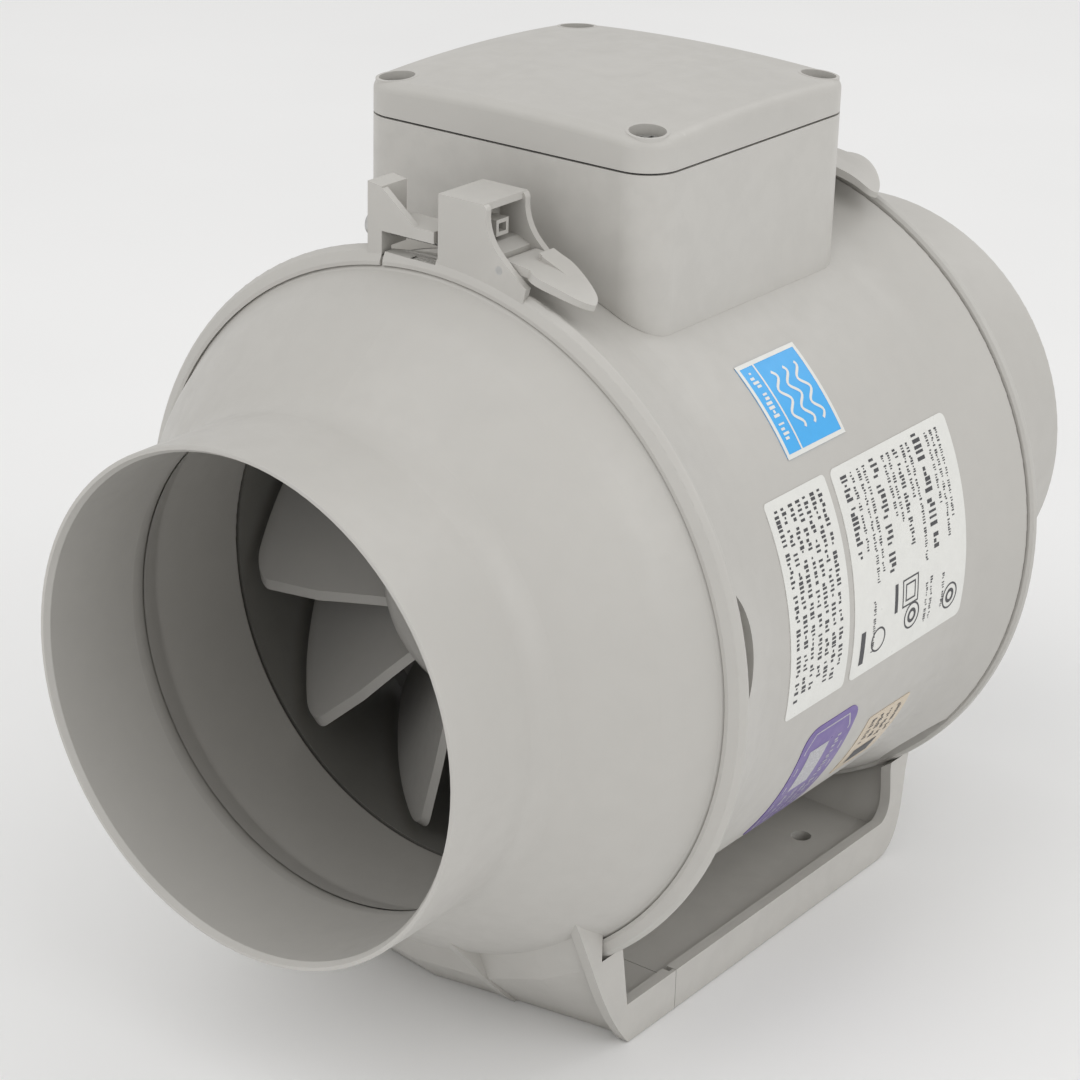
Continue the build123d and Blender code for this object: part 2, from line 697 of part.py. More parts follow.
with BuildPart() as blade:
    # A curved strip near the hub and a flatter, longer one beyond the tip, joined by straight lines.
    for height, front, middle, back in (
        (14.0, (-7.5, -60.0), (9.0, -36.0), (30.0, -8.0)),
        (84.0, (-1.5, -62.0), (27.0, -42.0), (62.0, -5.0)),
    ):
        with BuildSketch(level(height)):
            with BuildLine():
                ThreePointArc(front, middle, back)
                Line(back, (back[0] + blade_thickness, back[1] - 0.8))
                ThreePointArc(
                    (back[0] + blade_thickness, back[1] - 0.8),
                    (middle[0] + blade_thickness, middle[1] - 0.9),
                    (front[0] + blade_thickness, front[1] - 0.8),
                )
                Line((front[0] + blade_thickness, front[1] - 0.8), front)
            make_face()
    loft(ruled=True)
    # Trim to the swept shape of the blades, with a rounded leading tip.
    with BuildSketch(side_plane):
        with BuildLine():
            FilletPolyline(
                (hub_front_y + 2.6, 22.0),
                (tip_front_y + 0.6, 44.0),
                (tip_front_y, tip_front_r),
                (tip_back_y, tip_back_r),
                (tip_back_y, 52.0),
                radius=[0, 20, 6.5, 1.5, 0],
                close=True,
            )
        make_face()
    revolve(axis=fan_axis, mode=Mode.INTERSECT)

with BuildPart() as impeller:
    with BuildSketch(side_plane):
        with BuildLine():
            FilletPolyline(
                (hub_front_y, shaft_r),
                (hub_front_y, hub_front_r - 3.0),
                (hub_front_y + 5.0, hub_front_r + 2.0),
                (hub_back_y, hub_back_r),
                (hub_back_y, hub_back_r - 2.4),
                (hub_front_y + 7.0, hub_front_r),
                (hub_front_y + 4.0, 9.0),
                (-24.0, 9.0),
                (-24.0, shaft_r),
                radius=[0, 4, 8, 0.6, 0, 4, 2, 0, 0],
                close=True,
            )
        make_face()
    revolve(axis=fan_axis)
    for index in range(blade_count):
        add(blade.part.rotate(fan_axis, blade_start_angle + index * 360 / blade_count))
impeller.part.label = "impeller"
export_step(impeller.part, "parts/impeller.step")

with BuildPart() as impeller_nut:
    with BuildSketch(across(hub_front_y)):
        RegularPolygon(6.5, 6, major_radius=False)
        Circle(shaft_r, mode=Mode.SUBTRACT)
    extrude(amount=5.0)
impeller_nut.part.label = "impeller_nut"
export_step(impeller_nut.part, "parts/impeller_nut.step")

with BuildPart() as impeller_shroud:
    add(
        turned(
            [
                (-nozzle_end_y + 1.0, 66.2),
                (-nozzle_end_y + 1.0, body_bore_r),
                (-nozzle_end_y + 3.2, body_bore_r),
                (-nozzle_end_y + 3.2, 68.6),
                (-10.0, 80.8),
                (-5.0, body_bore_r),
                (-5.0, 79.6),
                (-10.0, 79.2),
            ]
        )
    )
impeller_shroud.part.label = "impeller_shroud"
export_step(impeller_shroud.part, "parts/impeller_shroud.step")

# ------------------------------------------------------------------ guide vanes and motor hub
hub_r = 57.0
web_front_y, web_back_y = -6.0, -3.0
hub_end_y = 44.0
bolt_circle_r = 50.5
motor_bolt_r = 2.0

with BuildPart() as vane_set:
    with BuildSketch(level(54.5)):
        with BuildLine():
            ThreePointArc((-13.0, -2.5), (-4.0, 14.0), (0.0, 40.0))
            Line((0.0, 40.0), (1.8, 40.0))
            ThreePointArc((1.8, 40.0), (-2.0, 13.3), (-11.0, -3.5))
            Line((-11.0, -3.5), (-13.0, -2.5))
        make_face()
    extrude(amount=30.0)

with BuildPart() as guide_vanes:
    for index in range(vane_count):
        add(vane_set.part.rotate(fan_axis, vane_start_angle + index * 360 / vane_count))
    with BuildSketch(side_plane):
        Polygon((-5.0, hub_r), (-5.0, body_bore_r), (42.0, body_bore_r), (42.0, hub_r))
    revolve(axis=fan_axis, mode=Mode.INTERSECT)
guide_vanes.part.label = "guide_vanes"
export_step(guide_vanes.part, "parts/guide_vanes.step")

with BuildPart() as motor_hub:
    add(
        turned(
            [
                (web_front_y, 15.0),
                (web_front_y, hub_r - 1.2),
                (web_front_y + 1.0, hub_r),
                (hub_end_y, hub_r),
                (hub_end_y, hub_r - 2.2),
                (web_back_y, hub_r - 2.2),
                (web_back_y, 15.0),
            ]
        )
    )
    with BuildSketch(across(0.0)):
        with PolarLocations(bolt_circle_r, 4, start_angle=45):
            Circle(motor_bolt_r)
    extrude(amount=20.0, mode=Mode.SUBTRACT)
    with BuildSketch(level(50.0)):
        with Locations((0, lead_exit_y)):
            Circle(3.4)
    extrude(amount=10.0, mode=Mode.SUBTRACT)
motor_hub.part.label = "motor_hub"
export_step(motor_hub.part, "parts/motor_hub.step")

with BuildPart() as tail_cone:
    with BuildSketch(side_plane):
        with BuildLine():
            FilletPolyline(
                (hub_end_y, hub_r),
                (hub_end_y + 10.0, hub_r - 1.0),
                (98.0, 26.0),
                (102.0, 0.0),
                (99.6, 0.0),
                (96.0, 24.4),
                (hub_end_y + 9.0, hub_r - 3.2),
                (hub_end_y, hub_r - 2.2),
                radius=[0, 20, 12, 0, 0, 10, 18, 0],
                close=True,
            )
        make_face()
    revolve(axis=fan_axis)
tail_cone.part.label = "tail_cone"
export_step(tail_cone.part, "parts/tail_cone.step")

# ------------------------------------------------------------------ motor
core_front_y, core_back_y = 8.0, 34.0
core_r, core_bore_r = 44.0, 26.5
shield_r = 46.5
shield_back_y = 46.0
bearing_r, bearing_width = 11.0, 7.0
front_bearing_y = -12.0
rear_bearing_y = shield_back_y + 4.0
slot_count = 12
slot_gap = 0.2

with BuildPart() as motor_front_shield:
    add(
        turned(
            [
                (web_back_y, bearing_r + 3.6),
                (-14.0, bearing_r + 3.0),
                (-14.0, shaft_r + 2.0),
                (front_bearing_y, shaft_r + 2.0),
                (front_bearing_y, bearing_r),
                (web_back_y + 2.6, bearing_r),
                (web_back_y + 2.6, shield_r - 2.0),
                (core_front_y, shield_r - 2.0),
                (core_front_y, shield_r),
                (web_back_y, shield_r),
            ]
        )
    )
    with BuildSketch(across(web_back_y)):
        with PolarLocations(bolt_circle_r - 2.0, 4, start_angle=45):
            SlotOverall(11.0, 8.4)
    extrude(amount=-3.0)
    with BuildSketch(across(web_back_y - 1)):
        with PolarLocations(bolt_circle_r, 4, start_angle=45):
            Circle(motor_bolt_r + 0.2)
    extrude(amount=-6.0, mode=Mode.SUBTRACT)
motor_front_shield.part.label = "motor_front_shield"
export_step(motor_front_shield.part, "parts/motor_front_shield.step")

with BuildPart() as motor_rear_shield:
    add(
        turned(
            [
                (core_back_y, shield_r - 2.0),
                (core_back_y, shield_r),
                (shield_back_y, shield_r),
                (shield_back_y, bearing_r + 3.6),
                (rear_bearing_y + bearing_width + 2.0, bearing_r + 3.0),
                (rear_bearing_y + bearing_width + 2.0, shaft_r + 2.0),
                (rear_bearing_y + bearing_width, shaft_r + 2.0),
                (rear_bearing_y + bearing_width, bearing_r),
                (shield_back_y - 2.6, bearing_r),
                (shield_back_y - 2.6, shield_r - 2.0),
            ]
        )
    )
    with BuildSketch(across(shield_back_y)):
        with PolarLocations(bolt_circle_r - 2.0, 4, start_angle=45):
            SlotOverall(11.0, 8.4)
    extrude(amount=3.0)
    with BuildSketch(across(shield_back_y + 1)):
        with PolarLocations(bolt_circle_r, 4, start_angle=45):
            Circle(motor_bolt_r + 0.2)
    extrude(amount=6.0, mode=Mode.SUBTRACT)
    # Way out for the lead at the top of the rear shield.
    with BuildSketch(level(shield_r - 6.0)):
        with Locations((0, lead_exit_y)):
            Circle(3.4)
    extrude(amount=10.0, mode=Mode.SUBTRACT)
motor_rear_shield.part.label = "motor_rear_shield"
export_step(motor_rear_shield.part, "parts/motor_rear_shield.step")

with BuildPart() as motor_bolts:
    with BuildSketch(across(web_front_y)):
        with PolarLocations(bolt_circle_r, 4, start_angle=45):
            Circle(motor_bolt_r)
    extrude(amount=-(shield_back_y - web_front_y))
    with BuildSketch(across(shield_back_y)):
        with PolarLocations(bolt_circle_r, 4, start_angle=45):
            Circle(3.5)
            Rectangle(4.2, 0.9, mode=Mode.SUBTRACT)
    extrude(amount=-2.4)
motor_bolts.part.label = "motor_bolts"
export_step(motor_bolts.part, "parts/motor_bolts.step")

with BuildPart() as stator_core:
    with BuildSketch(across(core_front_y)):
        Circle(core_r)
        Circle(core_bore_r, mode=Mode.SUBTRACT)
        with PolarLocations(34.0, slot_count):
            SlotOverall(11.0, 5.6, mode=Mode.SUBTRACT)
    extrude(amount=-(core_back_y - core_front_y))
stator_core.part.label = "stator_core"
export_step(stator_core.part, "parts/stator_core.step")

with BuildPart() as stator_windings:
    with BuildSketch(across(core_front_y - 3.6)):
        with PolarLocations(34.0, slot_count):
            SlotOverall(11.0 - 2 * slot_gap, 5.6 - 2 * slot_gap)
    extrude(amount=-(core_back_y - core_front_y + 7.2))
    for head_y in (core_front_y - 5.0, core_back_y + 1.0):
        with BuildSketch(side_plane):
            with Locations((head_y, 29.0)):
                RectangleRounded(4.0, 11.0, 1.6, align=Align.MIN)
        revolve(axis=fan_axis)
stator_windings.part.label = "stator_windings"
export_step(stator_windings.part, "parts/stator_windings.step")

with BuildPart() as rotor:
    with BuildSketch(across(core_front_y - 1.0)):
        Circle(core_bore_r - 0.5)
        Circle(shaft_r, mode=Mode.SUBTRACT)
        with PolarLocations(22.5, 18):
            Circle(1.6, mode=Mode.SUBTRACT)
    extrude(amount=-(core_back_y - core_front_y + 2.0))
rotor.part.label = "rotor"
export_step(rotor.part, "parts/rotor.step")

with BuildPart() as shaft:
    add(
        turned(
            [
                (hub_front_y - 7.5, 0),
                (hub_front_y - 7.5, shaft_r - 0.6),
                (hub_front_y - 6.9, shaft_r),
                (rear_bearing_y + bearing_width + 4.0, shaft_r),
                (rear_bearing_y + bearing_width + 4.0, 0),
            ]
        )
    )
shaft.part.label = "shaft"
export_step(shaft.part, "parts/shaft.step")


def bearing(start_y):
    """Sealed ball bearing; the ring grooves mark the seals between its two races."""
    end_y = start_y + bearing_width
    return turned(
        [
            (start_y, shaft_r + running_gap),
            (start_y, 5.8),
            (start_y + 0.4, 5.8),
            (start_y + 0.4, 9.2),
            (start_y, 9.2),
            (start_y, bearing_r),
            (end_y, bearing_r),
            (end_y, 9.2),
            (end_y - 0.4, 9.2),
            (end_y - 0.4, 5.8),
            (end_y, 5.8),
            (end_y, shaft_r + running_gap),
        ]
    )


with BuildPart() as front_bearing:
    add(bearing(front_bearing_y))
front_bearing.part.label = "front_bearing"
export_step(front_bearing.part, "parts/front_bearing.step")

with BuildPart() as rear_bearing:
    add(bearing(rear_bearing_y))
rear_bearing.part.label = "rear_bearing"
export_step(rear_bearing.part, "parts/rear_bearing.step")

# ------------------------------------------------------------------ electrical parts in the box
capacitor_x, capacitor_height = -24.0, 92.4
capacitor_r, capacitor_length = 11.0, 38.0
capacitor_y = -30.0
block_x, block_y = 18.0, -6.0
block_height = 12.0
pole_count = 4
pole_pitch = 7.0

with BuildPart() as capacitor:
    with BuildSketch(across(capacitor_y)):
        with Locations((capacitor_x, capacitor_height)):
            Circle(capacitor_r)
    extrude(amount=-capacitor_length)
    fillet(capacitor.edges().filter_by(GeomType.CIRCLE), radius=1.5)
capacitor.part.label = "capacitor"
export_step(capacitor.part, "parts/capacitor.step")

with BuildPart() as capacitor_clip:
    with BuildSketch(across(capacitor_y + 14.0)):
        with Locations((capacitor_x, capacitor_height)):
            Circle(capacitor_r + 1.3)
            Circle(capacitor_r + 0.1, mode=Mode.SUBTRACT)
    extrude(amount=-8.0)
    # The open side faces the casing, whose crown the clip stands on.
    with BuildSketch(across(-40.0)):
        Circle(body_r + 0.1)
    extrude(amount=-60.0, mode=Mode.SUBTRACT)
capacitor_clip.part.label = "capacitor_clip"
export_step(capacitor_clip.part, "parts/capacitor_clip.step")

with BuildPart() as terminal_block:
    with BuildSketch(level(pad_height)):
        with Locations((block_x, block_y)):
            RectangleRounded(16.0, 30.0, 1.0)
    extrude(amount=block_height)
    with BuildSketch(level(pad_height + block_height - 5.0)):
        with Locations((block_x, block_y)):
            with GridLocations(0, pole_pitch, 1, pole_count):
                Circle(2.2)
    extrude(amount=5.0, mode=Mode.SUBTRACT)
    for end_x in (block_x - 8.0, block_x + 8.0):
        with BuildSketch(Plane.YZ.offset(end_x)):
            with Locations((block_y, axis_height + pad_height + 4.0)):
                with GridLocations(pole_pitch, 0, pole_count, 1):
                    Circle(1.7)
        extrude(amount=6.0 if end_x < block_x else -6.0, mode=Mode.SUBTRACT)
terminal_block.part.label = "terminal_block"
export_step(terminal_block.part, "parts/terminal_block.step")

with BuildPart() as terminal_screws:
    with BuildSketch(level(pad_height + block_height - 5.0)):
        with Locations((block_x, block_y)):
            with GridLocations(0, pole_pitch, 1, pole_count):
                Circle(2.1)
    extrude(amount=3.0)
    with BuildSketch(level(pad_height + block_height - 3.0)):
        with Locations((block_x, block_y)):
            with GridLocations(0, pole_pitch, 1, pole_count):
                Rectangle(5.0, 0.7)
    extrude(amount=2.0, mode=Mode.SUBTRACT)
terminal_screws.part.label = "terminal_screws"
export_step(terminal_screws.part, "parts/terminal_screws.step")

lead_r = 2.2
lead_route = [
    (0, lead_exit_y, axis_height + 40.5),
    (0, lead_exit_y, axis_height + 58.0),
    (0, lead_y, axis_height + 76.0),
    (0, lead_y, axis_height + 97.0),
    (10.0, 22.0, axis_height + 102.0),
    (block_x, block_y + 17.6, axis_height + 96.0),
]

with BuildPart() as motor_lead:
    with BuildLine() as lead_path:
        FilletPolyline(*lead_route, radius=[8, 8, 6, 6])
    with BuildSketch(Plane(origin=lead_path.line @ 0, z_dir=lead_path.line % 0)):
        Circle(lead_r)
    sweep()
motor_lead.part.label = "motor_lead"
export_step(motor_lead.part, "parts/motor_lead.step")

with BuildPart() as lead_grommet:
    with BuildSketch(level(81.0)):
        with Locations((0, lead_y)):
            Circle(grommet_r)
            Circle(lead_r + 0.1, mode=Mode.SUBTRACT)
    extrude(amount=5.0)
    with BuildSketch(level(body_r)):
        with Locations((0, lead_y)):
            Circle(grommet_r + 1.6)
            Circle(lead_r + 0.1, mode=Mode.SUBTRACT)
    extrude(amount=2.0)
    # The grommet stays inside the casing wall's bore.
    with BuildSketch(across(60.0)):
        Circle(body_bore_r)
    extrude(amount=60.0, mode=Mode.SUBTRACT)
lead_grommet.part.label = "lead_grommet"
export_step(lead_grommet.part, "parts/lead_grommet.step")

with BuildPart() as capacitor_leads:
    for side in (-1, 1):
        start = (capacitor_x + 4.0 * side, capacitor_y + capacitor_length + 0.7, axis_height + 95.0)
        middle = (capacitor_x + 8.0 + 4.0 * side, 15.0 + 1.5 * side, axis_height + 100.0)
        high = (0.0 + 2.0 * side, 6.0 + 3.0 * side, axis_height + 104.0)
        end = (block_x - 6.0, block_y + 3.5 + 3.5 * side, axis_height + pad_height + block_height + 1.0)
        with BuildLine() as wire_path:
            FilletPolyline(start, middle, high, end, radius=[4, 5])
        with BuildSketch(Plane(origin=wire_path.line @ 0, z_dir=wire_path.line % 0)):
            Circle(0.9)
        sweep()
capacitor_leads.part.label = "capacitor_leads"
export_step(capacitor_leads.part, "parts/capacitor_leads.step")

# ------------------------------------------------------------------ cable gland
gland_bore_r = 4.2
gland_wall_x = -box_x / 2

with BuildPart() as gland_body:
    with BuildSketch(Plane.YZ.offset(gland_wall_x - 5.0)):
        with Locations((gland_y, axis_height + gland_height)):
            RegularPolygon(10.5, 6, major_radius=False, rotation=30)
    extrude(amount=5.0)
    with BuildSketch(Plane.YZ.offset(gland_wall_x - 10.0)):
        with Locations((gland_y, axis_height + gland_height)):
            Circle(gland_r)
    extrude(amount=17.0)
    with BuildSketch(Plane.YZ.offset(gland_wall_x - 10.0)):
        with Locations((gland_y, axis_height + gland_height)):
            Circle(gland_bore_r)
    extrude(amount=17.0, mode=Mode.SUBTRACT)
gland_body.part.label = "gland_body"
export_step(gland_body.part, "parts/gland_body.step")

with BuildPart() as gland_cap:
    with BuildSketch(Plane.YZ.offset(gland_wall_x - 5.2)):
        with Locations((gland_y, axis_height + gland_height)):
            RegularPolygon(10.0, 6, major_radius=False, rotation=30)
    extrude(amount=-10.0)
    fillet(gland_cap.faces().sort_by(Axis.X)[0].edges(), radius=2.0)
    with BuildSketch(Plane.YZ.offset(gland_wall_x - 5.2)):
        with Locations((gland_y, axis_height + gland_height)):
            Circle(gland_r + 0.1)
    extrude(amount=-5.2, mode=Mode.SUBTRACT)
    with BuildSketch(Plane.YZ.offset(gland_wall_x)):
        with Locations((gland_y, axis_height + gland_height)):
            Circle(gland_bore_r)
    extrude(amount=-20.0, mode=Mode.SUBTRACT)
gland_cap.part.label = "gland_cap"
export_step(gland_cap.part, "parts/gland_cap.step")

with BuildPart() as gland_locknut:
    with BuildSketch(Plane.YZ.offset(gland_wall_x + wall)):
        with Locations((gland_y, axis_height + gland_height)):
            RegularPolygon(10.0, 6, major_radius=False, rotation=30)
            Circle(gland_r, mode=Mode.SUBTRACT)
    extrude(amount=3.5)
gland_locknut.part.label = "gland_locknut"
export_step(gland_locknut.part, "parts/gland_locknut.step")

# ------------------------------------------------------------------ stickers on the casing
sticker_thickness = 0.15
# Name: middle angle round the casing, middle y, size round it, size along it, corner radius.
stickers = {
    "square_sticker": (48.8, -11.0, 24.8, 24.6, 0.8),
    "front_rating_sticker": (79.8, -25.8, 53.5, 25.4, 1.2),
    "rear_rating_sticker": (79.8, 15.6, 53.5, 52.6, 2.0),
    "purple_sticker": (118.0, -12.0, 40.0, 24.0, 5.0),
    "tan_sticker": (119.0, 20.0, 22.0, 20.0, 1.0),
}

for sticker_name, (middle_angle, middle_y, round_size, long_size, corner_r) in stickers.items():
    with BuildPart() as sticker:
        with BuildSketch(side_plane):
            with Locations((middle_y, body_r)):
                Rectangle(long_size, sticker_thickness, align=(Align.CENTER, Align.MIN))
        revolve(axis=fan_axis, revolution_arc=degrees(round_size / body_r))
    with BuildPart() as placed_sticker:
        add(sticker.part.rotate(fan_axis, middle_angle - degrees(round_size / body_r) / 2))
        corners = placed_sticker.edges().filter_by(lambda edge: edge.length < 2 * sticker_thickness)
        fillet(corners, radius=corner_r)
    placed_sticker.part.label = sticker_name
    export_step(placed_sticker.part, f"parts/{sticker_name}.step")
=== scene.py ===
import json
import math
import random

import bmesh
import bpy
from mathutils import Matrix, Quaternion, Vector


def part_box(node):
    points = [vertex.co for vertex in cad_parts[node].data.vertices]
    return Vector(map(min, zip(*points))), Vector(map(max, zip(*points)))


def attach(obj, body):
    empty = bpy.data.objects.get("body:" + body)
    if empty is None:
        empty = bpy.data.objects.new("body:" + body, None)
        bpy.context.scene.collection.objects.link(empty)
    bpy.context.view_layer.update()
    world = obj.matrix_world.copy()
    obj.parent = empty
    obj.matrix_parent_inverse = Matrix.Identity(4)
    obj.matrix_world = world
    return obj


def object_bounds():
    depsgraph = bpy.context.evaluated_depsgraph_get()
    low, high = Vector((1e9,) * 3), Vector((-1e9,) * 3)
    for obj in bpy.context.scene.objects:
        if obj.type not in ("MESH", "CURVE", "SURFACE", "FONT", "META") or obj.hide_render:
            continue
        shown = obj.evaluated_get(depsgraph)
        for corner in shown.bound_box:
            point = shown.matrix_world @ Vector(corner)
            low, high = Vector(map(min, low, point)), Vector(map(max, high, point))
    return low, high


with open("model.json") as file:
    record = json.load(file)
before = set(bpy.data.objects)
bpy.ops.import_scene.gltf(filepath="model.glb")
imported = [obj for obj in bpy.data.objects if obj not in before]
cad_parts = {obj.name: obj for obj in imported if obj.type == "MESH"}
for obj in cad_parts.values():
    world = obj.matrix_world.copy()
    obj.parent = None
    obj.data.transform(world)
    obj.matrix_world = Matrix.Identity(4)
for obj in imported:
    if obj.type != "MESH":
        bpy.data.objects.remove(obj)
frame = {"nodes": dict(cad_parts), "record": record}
cad_low, cad_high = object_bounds()
nodes = frame["nodes"]
mounts = {mount["name"]: mount for mount in frame["record"]["mounts"]}

MM = 0.001
axis_z = mounts["inlet_spigot"]["pos_m"][2]
BODY = "fan_body"


# ------------------------------------------------------------------ node trees
class Shader:
    """A new material with its Principled node, and short ways to add and link nodes."""

    def __init__(self, name):
        self.material = bpy.data.materials.new(name)
        self.material.use_nodes = True
        self.tree = self.material.node_tree
        self.surface = self.tree.nodes["Principled BSDF"]
        self.place = self.add("ShaderNodeTexCoord").outputs["Object"]

    def add(self, kind, **settings):
        node = self.tree.nodes.new(kind)
        for key, value in settings.items():
            setattr(node, key, value)
        return node

    def link(self, source, target):
        self.tree.links.new(source, target)

    def stretched(self, x, y, z):
        """The object's coordinates, scaled along each axis."""
        mapping = self.add("ShaderNodeMapping")
        mapping.inputs["Scale"].default_value = (x, y, z)
        self.link(self.place, mapping.inputs["Vector"])
        return mapping.outputs["Vector"]

    def noise(self, scale, detail=3.0, roughness=0.55, space=None):
        node = self.add("ShaderNodeTexNoise")
        node.inputs["Scale"].default_value = scale
        node.inputs["Detail"].default_value = detail
        node.inputs["Roughness"].default_value = roughness
        self.link(space or self.place, node.inputs["Vector"])
        return node.outputs["Fac"]

    def ranged(self, value, low, high, to_low=0.0, to_high=1.0):
        node = self.add("ShaderNodeMapRange")
        limits = {"From Min": low, "From Max": high, "To Min": to_low, "To Max": to_high}
        for key, number in limits.items():
            node.inputs[key].default_value = number
        self.link(value, node.inputs["Value"])
        return node.outputs["Result"]

    def math(self, operation, first, second):
        node = self.add("ShaderNodeMath", operation=operation)
        for socket, value in zip(node.inputs, (first, second)):
            if isinstance(value, (int, float)):
                socket.default_value = value
            else:
                self.link(value, socket)
        return node.outputs["Value"]

    def mixed(self, factor, first, second, blend="MIX"):
        node = self.add("ShaderNodeMix", data_type="RGBA", blend_type=blend)
        sockets = [s for s in node.inputs if s.type == "RGBA"]
        for socket, value in zip(sockets, (first, second)):
            if isinstance(value, tuple):
                socket.default_value = (*value, 1.0)
            else:
                self.link(value, socket)
        if isinstance(factor, float):
            node.inputs["Factor"].default_value = factor
        else:
            self.link(factor, node.inputs["Factor"])
        return [s for s in node.outputs if s.type == "RGBA"][0]

    def edges(self, low, high):
        """0 on flat faces, rising to 1 on worn convex edges."""
        return self.ranged(self.add("ShaderNodeNewGeometry").outputs["Pointiness"], low, high)

    def gap_shade_mask(self, distance):
        """Painted shade mask: 1 deep in gaps and inner corners, where shade falls, 0 in the open."""
        node = self.add("ShaderNodeAmbientOcclusion", samples=6)
        node.inputs["Distance"].default_value = distance
        return self.ranged(node.outputs["AO"], 0.35, 0.95, 1.0, 0.0)

    def bumps(self, *layers):
        """Stacks (height, strength, distance) layers and drives the surface normal."""
        normal = None
        for height, strength, distance in layers:
            node = self.add("ShaderNodeBump")
            node.inputs["Strength"].default_value = strength
            node.inputs["Distance"].default_value = distance
            self.link(height, node.inputs["Height"])
            if normal:
                self.link(normal, node.inputs["Normal"])
            normal = node.outputs["Normal"]
        self.link(normal, self.surface.inputs["Normal"])


def tinted(colour, factor):
    return tuple(min(1.0, channel * factor) for channel in colour)


def moulded_plastic(name, colour, roughness=0.42, grain=1.0, gap_shade_strength=0.35):
    """Injection-moulded plastic: fine spark-eroded grain, slow shade drift, rubbed edges, and painted shade
    darkening its gaps and inner corners.
    """
    s = Shader(name)
    drift = s.noise(14.0, 2.0)
    mottle = s.noise(170.0, 4.0)
    speck = s.noise(2600.0, 2.0)
    shade = s.mixed(s.ranged(drift, 0.3, 0.7), tinted(colour, 0.965), tinted(colour, 1.03))
    shade = s.mixed(s.ranged(mottle, 0.35, 0.75, 0.0, 0.35), shade, tinted(colour, 0.93))
    rubbed = s.math("MULTIPLY", s.edges(0.52, 0.62), s.ranged(mottle, 0.35, 0.6))
    shade = s.mixed(s.math("MULTIPLY", rubbed, 0.45), shade, tinted(colour, 1.12))
    # Painted shade: ambient occlusion darkens gaps and inner corners towards a warm brown, where shade
    # falls.
    gap_shade = s.math("MULTIPLY", s.gap_shade_mask(5 * MM), gap_shade_strength)
    gap_shade_colour = (colour[0] * 0.50, colour[1] * 0.47, colour[2] * 0.42)
    shade = s.mixed(gap_shade, shade, gap_shade_colour)
    s.link(shade, s.surface.inputs["Base Color"])
    scuffs = s.noise(9.0, 6.0, 0.7, s.stretched(18.0, 2.0, 30.0))
    rough = s.math("ADD", s.ranged(mottle, 0.3, 0.7, roughness - 0.05, roughness + 0.06),
                   s.ranged(scuffs, 0.58, 0.72, 0.0, 0.10))
    s.link(s.math("SUBTRACT", rough, s.math("MULTIPLY", rubbed, 0.08)), s.surface.inputs["Roughness"])
    s.surface.inputs["IOR"].default_value = 1.5
    s.bumps((drift, 0.05, 1.2 * MM), (mottle, 0.05, 0.25 * MM), (speck, 0.16 * grain, 0.03 * MM))
    return s.material


def worn_metal(name, colour, roughness=0.3, brushed=(1.0, 1.0, 1.0), metal_gap_shade=0.25):
    """Plated or machined metal with brushing along one axis, handling marks, and painted shade darkening
    its gaps.
    """
    s = Shader(name)
    lines = s.noise(2400.0, 3.0, 0.6, s.stretched(*brushed))
    cloud = s.noise(260.0, 4.0)
    shade = s.mixed(s.ranged(cloud, 0.35, 0.7), colour, tinted(colour, 0.84))
    # Painted shade: ambient occlusion darkens the metal's gaps and inner corners, where shade falls.
    shade = s.mixed(s.math("MULTIPLY", s.gap_shade_mask(2 * MM), metal_gap_shade), shade, tinted(colour, 0.3))
    s.link(shade, s.surface.inputs["Base Color"])
    s.link(s.math("ADD", s.ranged(cloud, 0.3, 0.7, roughness - 0.06, roughness + 0.1),
                  s.ranged(lines, 0.4, 0.7, 0.0, 0.08)), s.surface.inputs["Roughness"])
    s.surface.inputs["Metallic"].default_value = 1.0
    s.bumps((lines, 0.25, 0.02 * MM), (cloud, 0.1, 0.05 * MM))
    return s.material


def laminated_steel(name, colour):
    """Stacked core sheets, about a millimetre each, with a little rust bloom."""
    s = Shader(name)
    sheets = s.add("ShaderNodeTexWave", wave_type="BANDS", bands_direction="Y", wave_profile="SAW")
    sheets.inputs["Scale"].default_value = 320.0
    sheets.inputs["Distortion"].default_value = 0.3
    s.link(s.place, sheets.inputs["Vector"])
    bloom = s.noise(120.0, 5.0)
    shade = s.mixed(s.ranged(bloom, 0.5, 0.72, 0.0, 0.5), colour, (0.28, 0.17, 0.11))
    shade = s.mixed(s.ranged(sheets.outputs["Fac"], 0.0, 0.2, 0.5, 0.0), shade, tinted(colour, 0.4))
    s.link(shade, s.surface.inputs["Base Color"])
    s.link(s.ranged(bloom, 0.3, 0.7, 0.35, 0.6), s.surface.inputs["Roughness"])
    s.surface.inputs["Metallic"].default_value = 0.9
    s.bumps((sheets.outputs["Fac"], 0.5, 0.06 * MM), (bloom, 0.1, 0.1 * MM))
    return s.material


def wound_copper(name, colour):
    """Enamelled wire laid round the core, with lacquer pooling between the turns."""
    s = Shader(name)
    turns = s.add("ShaderNodeTexWave", wave_type="RINGS", rings_direction="Y", wave_profile="SIN")
    turns.inputs["Scale"].default_value = 210.0
    turns.inputs["Distortion"].default_value = 2.2
    turns.inputs["Detail"].default_value = 2.0
    s.link(s.stretched(1.0, 2.5, 1.0), turns.inputs["Vector"])
    pool = s.noise(300.0, 4.0)
    shade = s.mixed(s.ranged(turns.outputs["Fac"], 0.0, 0.5), tinted(colour, 0.35), colour)
    shade = s.mixed(s.ranged(pool, 0.5, 0.75, 0.0, 0.6), shade, (0.30, 0.12, 0.05))
    s.link(shade, s.surface.inputs["Base Color"])
    s.link(s.ranged(pool, 0.3, 0.7, 0.2, 0.42), s.surface.inputs["Roughness"])
    s.surface.inputs["Metallic"].default_value = 0.85
    s.surface.inputs["Coat Weight"].default_value = 0.4
    s.bumps((turns.outputs["Fac"], 0.8, 0.25 * MM), (pool, 0.2, 0.1 * MM))
    return s.material


